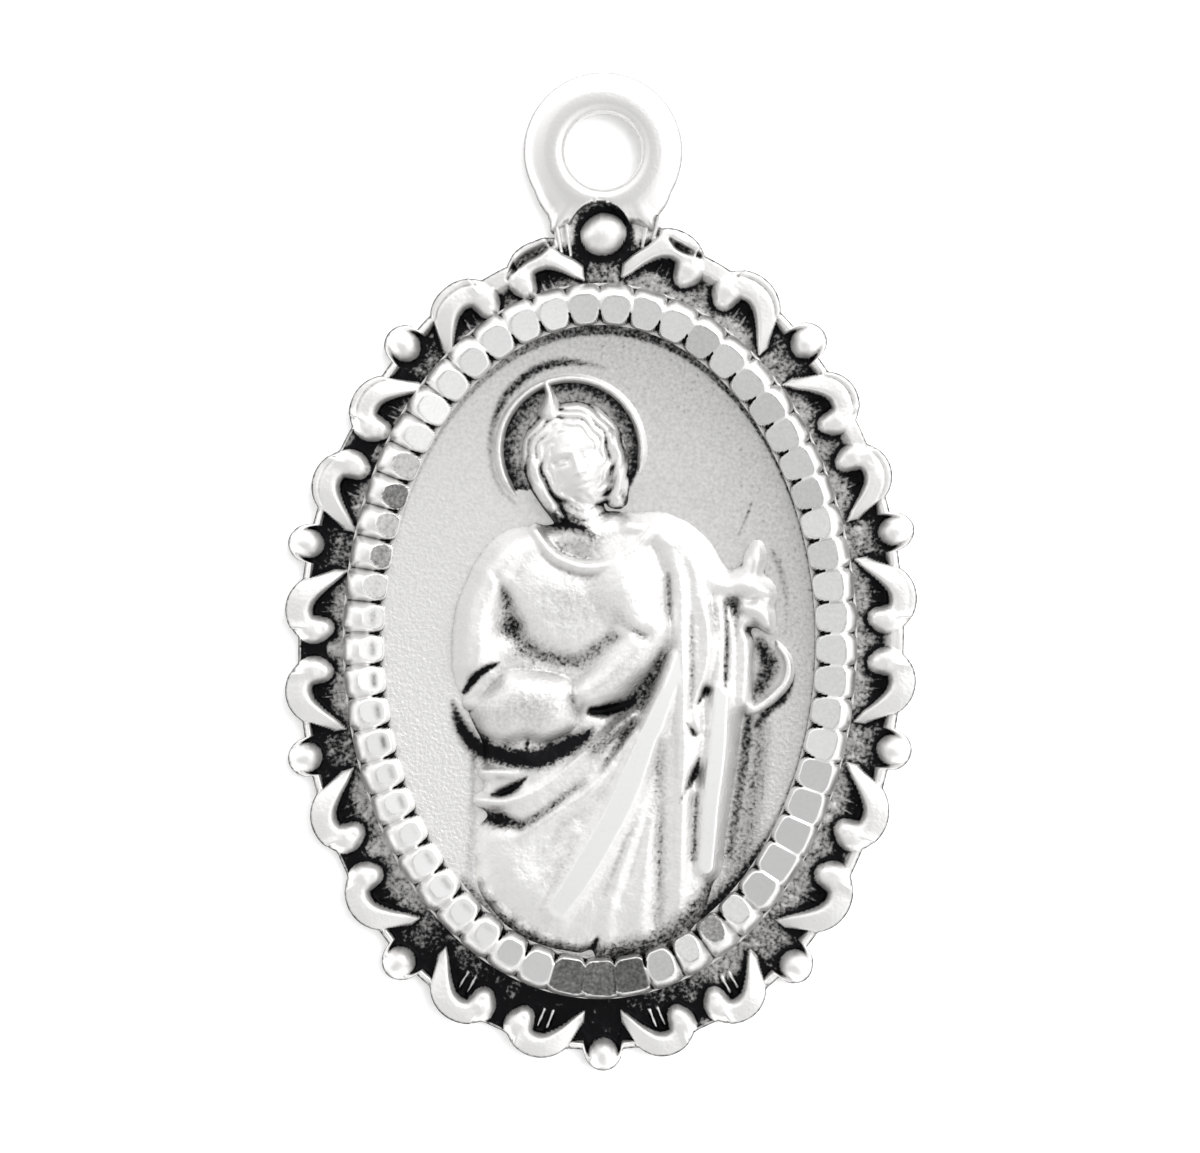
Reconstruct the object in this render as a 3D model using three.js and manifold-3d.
// Oval devotional medal with an integral eye, struck in one piece of silver.
// Millimetres: X runs across the medal, Y from its foot up to its eye, Z out of its face.
// It lies on its flat back at Z = 0, with the origin under the middle of its outline.

import * as THREE from "three";
import { mergeVertices } from "three/addons/utils/BufferGeometryUtils.js";
import Module from "manifold-3d";

const wasm = await Module();
wasm.setup();
const { Manifold, Mesh: SolidMesh } = wasm;

// Blank: the plate that everything stands on
const plateThickness = 0.85;
const reliefRoot = 0.06;

// Border: an oval line that carries the pearls, with a pair of scrolls between each two pearls
const borderHalfWidth = 7.66;
const borderHalfHeight = 10.38;
const motifCount = 10;
const plateInset = 0.13;
const pearlRadius = 0.41;
const pearlRise = 0.68;
const pearlFlange = 0.1;
const scrollHalfWidth = 0.36;
const scrollRise = 0.62;
const scrollToBeads = 0.19;
const scrollFlange = 0.05;
const lobeRadius = 1.07;
const lobePlace = 0.44;

// Bead frame: cut beads on a low ledge round the picture
const beadLineHalfWidth = 6.0;
const beadLineHalfHeight = 8.56;
const beadCount = 57;
const beadHalfDepth = 0.49;
const beadFill = 0.98;
const beadRise = 0.76;
const beadTable = 0.72;
const beadLedge = 0.04;

// Picture: a raised field inside the bead frame, and the robed figure on it
const fieldRise = 0.1;
const pictureMargin = 0.23;
const figureRise = 1.05;
const robeFullness = 0.45;
const robeEnds = 0.15;
const headHalfHeight = 1.38;
const headTilt = 19;
const haloGap = 0.45;
const haloHalfWidth = 0.12;
const haloRise = 0.26;

// Eye: a flat-faced ring on a short neck, with the top pearl in an arched recess
const eyeHoleRadius = 0.98;
const eyeBand = 1.04;
const eyeThickness = 1.3;
const eyeRound = 0.34;
const eyeRoundLimit = 0.45;
const eyeLift = 0.08;
const neckHalfWidth = 1.3;
const neckFoot = 1.2;
const neckRibHalfWidth = 0.1;
const neckRibRise = 0.4;
const topPearlRadius = 0.52;
const archGap = 0.25;

// Fineness of the faceted surfaces
const eyeSegments = 32;
const eyeRoundSteps = 2;
const ovalSegments = 80;
const archSegments = 18;
const haloSegments = 28;
const ridgeSides = 8;
const massSides = 12;
const massRows = 8;
const beadSides = 10;
const pearlSides = 10;
const pearlRows = 6;
const edgeStepsPerHalfPitch = 12;

const borderLine = new THREE.EllipseCurve(
  0, 0, borderHalfWidth, borderHalfHeight, Math.PI / 2, Math.PI * 2.5);
const beadLine = new THREE.EllipseCurve(
  0, 0, beadLineHalfWidth, beadLineHalfHeight, Math.PI / 2, Math.PI * 2.5);
borderLine.arcLengthDivisions = 1200;
beadLine.arcLengthDivisions = 1200;

const halfPitch = borderLine.getLength() / motifCount / 2;
const panelHalfWidth = beadLineHalfWidth - beadHalfDepth - pictureMargin;
const panelHalfHeight = beadLineHalfHeight - beadHalfDepth - pictureMargin;
const fieldLevel = plateThickness + fieldRise;
const eyeOuterRadius = eyeHoleRadius + eyeBand;
const eyeCentreY = borderHalfHeight + eyeLift + eyeOuterRadius;
const scrollReach = borderHalfWidth - beadLineHalfWidth - beadHalfDepth - scrollToBeads;

// One scroll from its thin tail beside a pearl, over its shoulder, to its bulb.
// along: share of half a pitch from the middle of the pair. inward: share of scrollReach.
// width: share of scrollHalfWidth. crest: share of scrollRise.
const scrollRows = [
  { along: 0.88, inward: 0.98, width: 0.22, crest: 0.35 },
  { along: 0.76, inward: 0.62, width: 0.46, crest: 0.62 },
  { along: 0.63, inward: 0.28, width: 0.7, crest: 0.82 },
  { along: 0.47, inward: 0.06, width: 0.88, crest: 0.95 },
  { along: 0.32, inward: 0.1, width: 0.86, crest: 0.9 },
  { along: 0.22, inward: 0.3, width: 0.84, crest: 0.86 },
  { along: 0.2, inward: 0.52, width: 1.0, crest: 1.05 },
];

// The robe as sections from the shoulders to the hem. y: share of the panel's half height.
// left, right: its edges, as shares of the panel's half width. rise: share of figureRise.
const robeSections = [
  { y: 0.315, left: -0.45, right: 0.46, rise: 0.42 },
  { y: 0.2, left: -0.58, right: 0.54, rise: 0.44 },
  { y: 0.0, left: -0.66, right: 0.6, rise: 0.44 },
  { y: -0.16, left: -0.7, right: 0.7, rise: 0.44 },
  { y: -0.39, left: -0.6, right: 0.66, rise: 0.46 },
  { y: -0.62, left: -0.57, right: 0.61, rise: 0.46 },
  { y: -0.78, left: -0.59, right: 0.58, rise: 0.42 },
  { y: -0.9, left: -0.5, right: 0.54, rise: 0.34 },
];

// The figure's rounded masses, as shares of the panel's half width and half height.
// x, y: centre. wide, tall: half sizes, both shares of the half width. rise: share of figureRise.
// lean: degrees that the top leans to the left.
const figureMasses = {
  chest: { x: -0.03, y: 0.12, wide: 0.42, tall: 0.44, rise: 0.62, lean: 0 },
  bundle: { x: -0.335, y: -0.225, wide: 0.31, tall: 0.23, rise: 1.0, lean: -4 },
  hand: { x: 0.765, y: 0.12, wide: 0.09, tall: 0.155, rise: 0.72, lean: 12 },
  staff_knob: { x: 0.742, y: 0.266, wide: 0.05, tall: 0.095, rise: 0.5, lean: -14 },
  skirt: { x: -0.26, y: -0.76, wide: 0.36, tall: 0.34, rise: 0.66, lean: -20 },
};

// The figure's ridges, each from its first row to its last, in the same shares as the masses.
// half: half width, as a share of the panel's half width. rise: share of figureRise.
const figureRidges = {
  neck: [
    { x: -0.075, y: 0.45, half: 0.11, rise: 0.48 },
    { x: -0.06, y: 0.3, half: 0.13, rise: 0.52 },
  ],
  collar: [
    { x: -0.275, y: 0.365, half: 0.035, rise: 0.52 },
    { x: -0.24, y: 0.3, half: 0.04, rise: 0.64 },
    { x: -0.15, y: 0.25, half: 0.04, rise: 0.7 },
    { x: -0.03, y: 0.235, half: 0.04, rise: 0.72 },
    { x: 0.09, y: 0.265, half: 0.04, rise: 0.7 },
    { x: 0.2, y: 0.325, half: 0.04, rise: 0.62 },
  ],
  shoulder_right: [
    { x: 0.16, y: 0.36, half: 0.09, rise: 0.58 },
    { x: 0.3, y: 0.31, half: 0.14, rise: 0.66 },
    { x: 0.42, y: 0.24, half: 0.13, rise: 0.6 },
  ],
  sleeve: [
    { x: -0.42, y: 0.28, half: 0.12, rise: 0.62 },
    { x: -0.52, y: 0.15, half: 0.125, rise: 0.72 },
    { x: -0.57, y: 0.03, half: 0.13, rise: 0.78 },
    { x: -0.605, y: -0.09, half: 0.11, rise: 0.8 },
  ],
  forearm_left: [
    { x: -0.655, y: -0.19, half: 0.045, rise: 0.66 },
    { x: -0.56, y: -0.16, half: 0.07, rise: 0.84 },
    { x: -0.42, y: -0.13, half: 0.085, rise: 0.98 },
    { x: -0.25, y: -0.125, half: 0.085, rise: 1.0 },
  ],
  forearm_right: [
    { x: -0.09, y: -0.16, half: 0.11, rise: 0.96 },
    { x: 0.06, y: -0.09, half: 0.125, rise: 0.96 },
    { x: 0.19, y: -0.02, half: 0.13, rise: 0.92 },
    { x: 0.25, y: 0.05, half: 0.11, rise: 0.86 },
  ],
  upper_arm: [
    { x: 0.19, y: 0.28, half: 0.12, rise: 0.68 },
    { x: 0.2, y: 0.17, half: 0.14, rise: 0.82 },
    { x: 0.24, y: 0.06, half: 0.13, rise: 0.88 },
  ],
  mantle_inner: [
    { x: 0.31, y: 0.36, half: 0.07, rise: 0.66 },
    { x: 0.385, y: 0.23, half: 0.055, rise: 0.78 },
    { x: 0.385, y: 0.06, half: 0.05, rise: 0.86 },
    { x: 0.4, y: -0.1, half: 0.05, rise: 0.88 },
    { x: 0.395, y: -0.29, half: 0.05, rise: 0.86 },
    { x: 0.365, y: -0.49, half: 0.055, rise: 0.8 },
    { x: 0.33, y: -0.69, half: 0.06, rise: 0.7 },
    { x: 0.345, y: -0.89, half: 0.065, rise: 0.5 },
  ],
  mantle_outer: [
    { x: 0.42, y: 0.33, half: 0.07, rise: 0.62 },
    { x: 0.49, y: 0.17, half: 0.05, rise: 0.74 },
    { x: 0.51, y: 0.0, half: 0.045, rise: 0.78 },
    { x: 0.5, y: -0.12, half: 0.04, rise: 0.74 },
    { x: 0.455, y: -0.21, half: 0.02, rise: 0.6 },
  ],
  arm_to_hand: [
    { x: 0.48, y: 0.25, half: 0.08, rise: 0.54 },
    { x: 0.6, y: 0.18, half: 0.075, rise: 0.56 },
    { x: 0.72, y: 0.14, half: 0.085, rise: 0.62 },
  ],
  staff_fall: [
    { x: 0.6, y: 0.13, half: 0.045, rise: 0.58 },
    { x: 0.595, y: -0.02, half: 0.045, rise: 0.64 },
    { x: 0.61, y: -0.16, half: 0.045, rise: 0.7 },
  ],
  hand_fall: [
    { x: 0.7, y: 0.06, half: 0.05, rise: 0.6 },
    { x: 0.705, y: -0.06, half: 0.05, rise: 0.64 },
    { x: 0.69, y: -0.2, half: 0.045, rise: 0.64 },
  ],
  mantle_fall: [
    { x: 0.635, y: -0.17, half: 0.075, rise: 0.78 },
    { x: 0.605, y: -0.38, half: 0.085, rise: 0.8 },
    { x: 0.565, y: -0.58, half: 0.08, rise: 0.74 },
    { x: 0.53, y: -0.76, half: 0.07, rise: 0.58 },
  ],
  mantle_end: [
    { x: 0.86, y: 0.0, half: 0.028, rise: 0.34 },
    { x: 0.915, y: -0.08, half: 0.032, rise: 0.36 },
    { x: 0.88, y: -0.155, half: 0.032, rise: 0.38 },
    { x: 0.73, y: -0.225, half: 0.026, rise: 0.42 },
  ],
  main_fold: [
    { x: 0.37, y: -0.03, half: 0.035, rise: 0.84 },
    { x: 0.29, y: -0.19, half: 0.07, rise: 0.92 },
    { x: 0.19, y: -0.35, half: 0.08, rise: 0.94 },
    { x: 0.08, y: -0.52, half: 0.085, rise: 0.9 },
    { x: -0.02, y: -0.66, half: 0.09, rise: 0.84 },
    { x: -0.18, y: -0.87, half: 0.08, rise: 0.6 },
  ],
  knee_fold: [
    { x: 0.25, y: -0.36, half: 0.04, rise: 0.72 },
    { x: 0.2, y: -0.58, half: 0.06, rise: 0.72 },
    { x: 0.17, y: -0.88, half: 0.07, rise: 0.52 },
  ],
  hem_fold: [
    { x: 0.13, y: -0.6, half: 0.05, rise: 0.7 },
    { x: 0.04, y: -0.77, half: 0.06, rise: 0.64 },
    { x: -0.02, y: -0.93, half: 0.06, rise: 0.46 },
  ],
  waist_fold: [
    { x: -0.57, y: -0.43, half: 0.03, rise: 0.56 },
    { x: -0.44, y: -0.445, half: 0.035, rise: 0.64 },
    { x: -0.34, y: -0.425, half: 0.02, rise: 0.6 },
  ],
  girdle_fold: [
    { x: -0.58, y: -0.53, half: 0.03, rise: 0.58 },
    { x: -0.44, y: -0.515, half: 0.04, rise: 0.7 },
    { x: -0.3, y: -0.475, half: 0.04, rise: 0.76 },
    { x: -0.14, y: -0.425, half: 0.04, rise: 0.78 },
    { x: -0.015, y: -0.365, half: 0.035, rise: 0.78 },
    { x: 0.12, y: -0.265, half: 0.025, rise: 0.76 },
  ],
  hip_fold: [
    { x: -0.5, y: -0.7, half: 0.09, rise: 0.6 },
    { x: -0.36, y: -0.64, half: 0.1, rise: 0.7 },
    { x: -0.19, y: -0.565, half: 0.085, rise: 0.76 },
    { x: -0.05, y: -0.47, half: 0.06, rise: 0.78 },
    { x: 0.09, y: -0.35, half: 0.04, rise: 0.78 },
  ],
};

// The head stands upright here and is tilted as a whole. across, up: from its middle, as shares of
// headHalfHeight, like wide, tall and half. rise: share of figureRise.
const headPlace = { x: -0.119, y: 0.6 };
const headMasses = {
  hair: { across: 0.02, up: 0.1, wide: 0.86, tall: 0.94, rise: 0.66 },
  face: { across: 0, up: -0.04, wide: 0.62, tall: 0.86, rise: 0.88 },
  mouth: { across: 0, up: -0.44, wide: 0.2, tall: 0.07, rise: 0.9 },
  beard: { across: 0, up: -0.7, wide: 0.46, tall: 0.3, rise: 0.8 },
};
const headRidges = {
  brow: [
    { across: -0.36, up: 0.12, half: 0.06, rise: 0.82 },
    { across: -0.16, up: 0.18, half: 0.08, rise: 0.92 },
    { across: 0.16, up: 0.18, half: 0.08, rise: 0.92 },
    { across: 0.36, up: 0.12, half: 0.06, rise: 0.82 },
  ],
  nose: [
    { across: 0, up: 0.14, half: 0.06, rise: 0.92 },
    { across: 0, up: -0.24, half: 0.1, rise: 0.99 },
  ],
  hair_left: [
    { across: -0.48, up: 0.66, half: 0.18, rise: 0.6 },
    { across: -0.76, up: 0.18, half: 0.2, rise: 0.62 },
    { across: -0.72, up: -0.36, half: 0.2, rise: 0.58 },
    { across: -0.56, up: -0.82, half: 0.16, rise: 0.5 },
  ],
  hair_right: [
    { across: 0.5, up: 0.66, half: 0.18, rise: 0.6 },
    { across: 0.8, up: 0.18, half: 0.2, rise: 0.62 },
    { across: 0.78, up: -0.36, half: 0.2, rise: 0.58 },
    { across: 0.6, up: -0.86, half: 0.16, rise: 0.5 },
  ],
  flame: [
    { across: 0, up: 0.92, half: 0.15, rise: 0.6 },
    { across: 0.02, up: 1.12, half: 0.1, rise: 0.5 },
    { across: 0, up: 1.36, half: 0.03, rise: 0.34 },
  ],
};

// A closed geometry with its shared corners merged, ready to be placed.
function closed(geometry) {
  geometry.deleteAttribute("normal");
  geometry.deleteAttribute("uv");
  return mergeVertices(geometry, 1e-5);
}

// A closed geometry as a solid that can be joined and cut.
const solid = (geometry) => new Manifold(new SolidMesh({
  numProp: 3,
  vertProperties: geometry.getAttribute("position").array,
  triVerts: new Uint32Array(geometry.index.array),
}));

const join = (solids) => Manifold.union(solids);

// A flat plate with the given outline, from the back up to a level.
function plate(shape, level) {
  const geometry = new THREE.ExtrudeGeometry(shape, { depth: level, bevelEnabled: false, curveSegments: 1 });
  return solid(closed(geometry));
}

const roundOutline = (x, y, halfWidth, halfHeight, segments) =>
  new THREE.Shape(new THREE.EllipseCurve(x, y, halfWidth, halfHeight).getPoints(segments).slice(0, -1));

// A pillow-shaped mass whose widest section lies at the given floor.
function dome(x, y, halfWide, halfTall, floor, rise, leanDegrees = 0, sides = massSides, rows = massRows) {
  const geometry = closed(new THREE.SphereGeometry(1, sides, rows)).rotateX(Math.PI / 2);
  geometry.scale(halfWide, halfTall, rise).rotateZ(THREE.MathUtils.degToRad(leanDegrees));
  return solid(geometry.translate(x, y, floor));
}

const filled = (value, fullness) => Math.sign(value) * Math.abs(value) ** fullness;

// A half-round ridge. Each station has x, y, half (half width) and rise above the floor.
// fullness: 1 is a round section, and less than 1 fills its shoulders out.
// ends: how far the ends reach past the first and last station, where 1 is round.
function ridge(stations, floor, fullness = 1, ends = 1) {
  const rings = [];
  const last = stations.length - 1;
  const capTurn = Math.PI / 4;
  stations.forEach((station, i) => {
    const before = stations[Math.max(i - 1, 0)];
    const after = stations[Math.min(i + 1, last)];
    const way = new THREE.Vector2(after.x - before.x, after.y - before.y).normalize();
    const ring = (shift, share) => ({ station, way, shift: shift * ends * station.half, share });
    if (i === 0) rings.push(ring(-1, 0), ring(-Math.cos(capTurn), Math.sin(capTurn)));
    rings.push(ring(0, 1));
    if (i === last) rings.push(ring(Math.cos(capTurn), Math.sin(capTurn)), ring(1, 0));
  });
  const positions = [];
  for (const { station, way, shift, share } of rings) {
    const x = station.x + way.x * shift;
    const y = station.y + way.y * shift;
    for (let side = 0; side < ridgeSides; side++) {
      const turn = (side / ridgeSides) * Math.PI * 2;
      const across = filled(Math.cos(turn), fullness) * station.half * share;
      const up = filled(Math.sin(turn), fullness) * station.rise * share;
      positions.push(x + way.y * across, y - way.x * across, floor + up);
    }
  }
  const triangles = [];
  const at = (ring, side) => ring * ridgeSides + (side % ridgeSides);
  for (let ring = 0; ring < rings.length - 1; ring++) {
    for (let side = 0; side < ridgeSides; side++) {
      const corners = [at(ring, side), at(ring + 1, side), at(ring + 1, side + 1), at(ring, side + 1)];
      if (ring < rings.length - 2) triangles.push(corners[0], corners[1], corners[2]);
      if (ring > 0) triangles.push(corners[0], corners[2], corners[3]);
    }
  }
  const geometry = new THREE.BufferGeometry();
  geometry.setAttribute("position", new THREE.Float32BufferAttribute(positions, 3));
  geometry.setIndex(triangles);
  return solid(closed(geometry));
}

// A place beside an oval line: its share of the way round from the top, and its distance outwards.
function beside(line, share, outwards) {
  const turned = ((share % 1) + 1) % 1;
  const point = line.getPointAt(turned);
  const way = line.getTangentAt(turned);
  return { x: point.x + way.y * outwards, y: point.y - way.x * outwards };
}

// How far a round of the edge stands outside the border line, at a share of half a pitch.
function roundStand(along, centreAlong, stand, radius) {
  const across = (along - centreAlong) * halfPitch;
  return Math.abs(across) < radius ? stand - radius + Math.sqrt(radius ** 2 - across ** 2) : -plateInset;
}

// The plate's edge at a share of half a pitch from the middle of a pair of scrolls: the farthest of
// the plain oval, the lobe behind a scroll and the pad under a pearl.
function edgeStand(along) {
  const stands = scrollRows.map(({ width, inward }) => width * scrollHalfWidth - inward * scrollReach);
  const lobeStand = Math.max(...stands) + scrollFlange;
  const padRadius = pearlRadius + pearlFlange;
  return Math.max(roundStand(along, lobePlace, lobeStand, lobeRadius),
    roundStand(along, 1, padRadius, padRadius));
}

// The edge is followed in steps that grow shorter towards each pearl, whose pad is its smallest round.
function blank() {
  const outline = [];
  const steps = motifCount * 2 * edgeStepsPerHalfPitch;
  for (let step = 0; step < steps; step++) {
    const motif = Math.floor(step / (2 * edgeStepsPerHalfPitch));
    const fromMiddle = (step % (2 * edgeStepsPerHalfPitch)) / edgeStepsPerHalfPitch - 1;
    const along = Math.sign(fromMiddle) * Math.sin(Math.abs(fromMiddle) * Math.PI / 2);
    const { x, y } = beside(borderLine, (motif + 0.5 + along / 2) / motifCount, edgeStand(Math.abs(along)));
    outline.push(new THREE.Vector2(x, y));
  }
  return plate(new THREE.Shape(outline), plateThickness);
}

function scroll(motif, hand) {
  return ridge(scrollRows.map(({ along, inward, width, crest }) => ({
    ...beside(borderLine, (motif + 0.5 + hand * along / 2) / motifCount, -inward * scrollReach),
    half: width * scrollHalfWidth,
    rise: crest * scrollRise + reliefRoot,
  })), plateThickness - reliefRoot);
}

function pearl(motif) {
  const radius = motif === 0 ? topPearlRadius : pearlRadius;
  const { x, y } = beside(borderLine, motif / motifCount, 0);
  return dome(x, y, radius, radius, plateThickness - reliefRoot, pearlRise + reliefRoot, 0,
    pearlSides, pearlRows);
}

function border() {
  const pieces = [];
  for (let motif = 0; motif < motifCount; motif++) {
    pieces.push(pearl(motif), scroll(motif, -1), scroll(motif, 1));
  }
  return join(pieces);
}

function beadFrame() {
  const halfLength = beadLine.getLength() / beadCount / 2 * beadFill;
  const foot = plateThickness - reliefRoot;
  const top = plateThickness + beadRise;
  const beads = [];
  for (let i = 0; i < beadCount; i++) {
    const share = (i + 0.5) / beadCount;
    const { x, y } = beside(beadLine, share, 0);
    const way = beadLine.getTangentAt(share);
    const bead = closed(new THREE.CylinderGeometry(beadTable, 1, top - foot, beadSides)).rotateX(Math.PI / 2);
    bead.scale(halfLength, beadHalfDepth, 1).rotateZ(Math.atan2(way.y, way.x));
    beads.push(solid(bead.translate(x, y, (foot + top) / 2)));
  }
  return join(beads);
}

function robe() {
  return ridge(robeSections.map(({ y, left, right, rise }) => ({
    x: (left + right) / 2 * panelHalfWidth,
    y: y * panelHalfHeight,
    half: (right - left) / 2 * panelHalfWidth,
    rise: rise * figureRise,
  })), fieldLevel, robeFullness, robeEnds);
}

function drapery() {
  const pieces = [robe()];
  for (const { x, y, wide, tall, rise, lean } of Object.values(figureMasses)) {
    pieces.push(dome(x * panelHalfWidth, y * panelHalfHeight, wide * panelHalfWidth, tall * panelHalfWidth,
      fieldLevel, rise * figureRise, lean));
  }
  for (const rows of Object.values(figureRidges)) {
    pieces.push(ridge(rows.map(({ x, y, half, rise }) => ({
      x: x * panelHalfWidth,
      y: y * panelHalfHeight,
      half: half * panelHalfWidth,
      rise: rise * figureRise,
    })), fieldLevel));
  }
  return join(pieces);
}

function head() {
  const pieces = [];
  const tilt = THREE.MathUtils.degToRad(headTilt);
  const upright = new THREE.Vector2(0, 0);
  const middle = new THREE.Vector2(headPlace.x * panelHalfWidth, headPlace.y * panelHalfHeight);
  const place = ({ across, up }) =>
    new THREE.Vector2(across, up).multiplyScalar(headHalfHeight).rotateAround(upright, tilt).add(middle);
  for (const mass of Object.values(headMasses)) {
    const { x, y } = place(mass);
    pieces.push(dome(x, y, mass.wide * headHalfHeight, mass.tall * headHalfHeight, fieldLevel,
      mass.rise * figureRise, headTilt));
  }
  for (const rows of Object.values(headRidges)) {
    pieces.push(ridge(rows.map((row) => {
      const { x, y } = place(row);
      return { x, y, half: row.half * headHalfHeight, rise: row.rise * figureRise };
    }), fieldLevel));
  }
  const haloRadius = headHalfHeight + haloGap;
  const halo = closed(new THREE.TorusGeometry(haloRadius, haloHalfWidth, ridgeSides, haloSegments));
  halo.scale(1, 1, haloRise / haloHalfWidth).translate(middle.x, middle.y, fieldLevel);
  pieces.push(solid(halo));
  return join(pieces);
}

function picture() {
  const ledge = beadHalfDepth + beadLedge;
  const field = roundOutline(0, 0, beadLineHalfWidth + ledge, beadLineHalfHeight + ledge, ovalSegments);
  return join([plate(field, fieldLevel), drapery(), head()]);
}

// The ring's section is a flat band with rounded edges, which never meet in the middle of its flats.
function eye() {
  const round = Math.min(eyeRound, eyeBand * eyeRoundLimit, eyeThickness * eyeRoundLimit);
  const corners = [
    { radius: eyeHoleRadius + round, level: round, start: Math.PI },
    { radius: eyeOuterRadius - round, level: round, start: Math.PI * 1.5 },
    { radius: eyeOuterRadius - round, level: eyeThickness - round, start: 0 },
    { radius: eyeHoleRadius + round, level: eyeThickness - round, start: Math.PI / 2 },
  ];
  const profile = [];
  for (const { radius, level, start } of corners) {
    for (let step = 0; step <= eyeRoundSteps; step++) {
      const turn = start + (step / eyeRoundSteps) * (Math.PI / 2);
      profile.push(new THREE.Vector2(radius + Math.cos(turn) * round, level + Math.sin(turn) * round));
    }
  }
  profile.push(profile[0].clone());
  const ring = closed(new THREE.LatheGeometry(profile, eyeSegments));
  return solid(ring.rotateX(Math.PI / 2).translate(0, eyeCentreY, 0));
}

function neck() {
  const top = eyeCentreY - (eyeOuterRadius + eyeHoleRadius) / 2;
  const bottom = borderHalfHeight - neckFoot;
  const outline = new THREE.Shape([
    new THREE.Vector2(-neckHalfWidth, bottom), new THREE.Vector2(neckHalfWidth, bottom),
    new THREE.Vector2(neckHalfWidth, top), new THREE.Vector2(-neckHalfWidth, top)]);
  const rib = (side) => {
    const x = side * (neckHalfWidth - neckRibHalfWidth);
    return ridge([
      { x, y: top, half: neckRibHalfWidth, rise: neckRibRise },
      { x, y: borderHalfHeight - neckRibHalfWidth, half: neckRibHalfWidth, rise: neckRibRise },
    ], plateThickness);
  };
  return join([plate(outline, plateThickness), rib(-1), rib(1)]);
}

function archRecess() {
  const radius = topPearlRadius + archGap;
  const well = closed(new THREE.CylinderGeometry(radius, radius, eyeThickness, archSegments));
  return solid(well.rotateX(Math.PI / 2).translate(0, borderHalfHeight, plateThickness + eyeThickness / 2));
}

const hanger = join([eye(), neck()]).subtract(archRecess());
const everything = join([blank(), hanger, border(), beadFrame(), picture()]);

// The back is struck flat: nothing passes below it.
const wellOutside = Math.ceil(4 * (borderHalfHeight + eyeOuterRadius));
const below = closed(new THREE.BoxGeometry(wellOutside, wellOutside, wellOutside));
const struck = everything.subtract(solid(below.translate(0, 0, -wellOutside / 2)));

const struckMesh = struck.getMesh();
const geometry = new THREE.BufferGeometry();
geometry.setAttribute("position", new THREE.BufferAttribute(struckMesh.vertProperties, 3));
geometry.setIndex(new THREE.BufferAttribute(struckMesh.triVerts, 1));
geometry.computeVertexNormals();
geometry.computeBoundingBox();

const silver = new THREE.MeshStandardMaterial({ color: 0xdcdad6, roughness: 0.42, metalness: 1 });
const medal = new THREE.Mesh(geometry, silver);
medal.name = "medal";
medal.position.y = -(geometry.boundingBox.min.y + geometry.boundingBox.max.y) / 2;

const part = new THREE.Group();
part.add(medal);

export default part;
